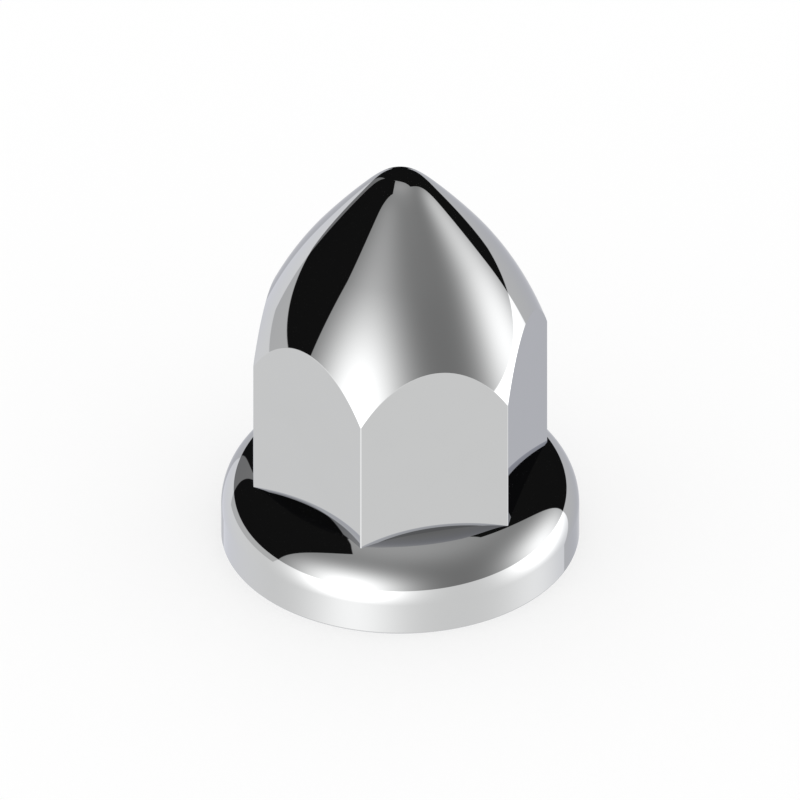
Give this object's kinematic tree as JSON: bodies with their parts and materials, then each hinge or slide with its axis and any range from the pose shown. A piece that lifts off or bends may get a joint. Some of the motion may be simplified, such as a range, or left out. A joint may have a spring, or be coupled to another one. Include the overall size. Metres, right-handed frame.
{
  "type": "wheel nut cover cap",
  "caption": "Pointed hexagonal cover cap with a round skirt, one chrome-plated moulding that pushes over a truck wheel nut.",
  "frame": {"origin": "centre of the skirt's lower rim, in the plane that rests on the wheel", "axes": "+Z along the cap's axis from the wheel to the point; two opposite flats face -Y and +Y, and two corners point along -X and +X"},
  "size_m": [0.0516, 0.0516, 0.0629],
  "materials": {
    "chrome": "mirror polished plating"
  },
  "bodies": {
    "root": {"cover_cap": "chrome"}
  },
  "joints": []
}
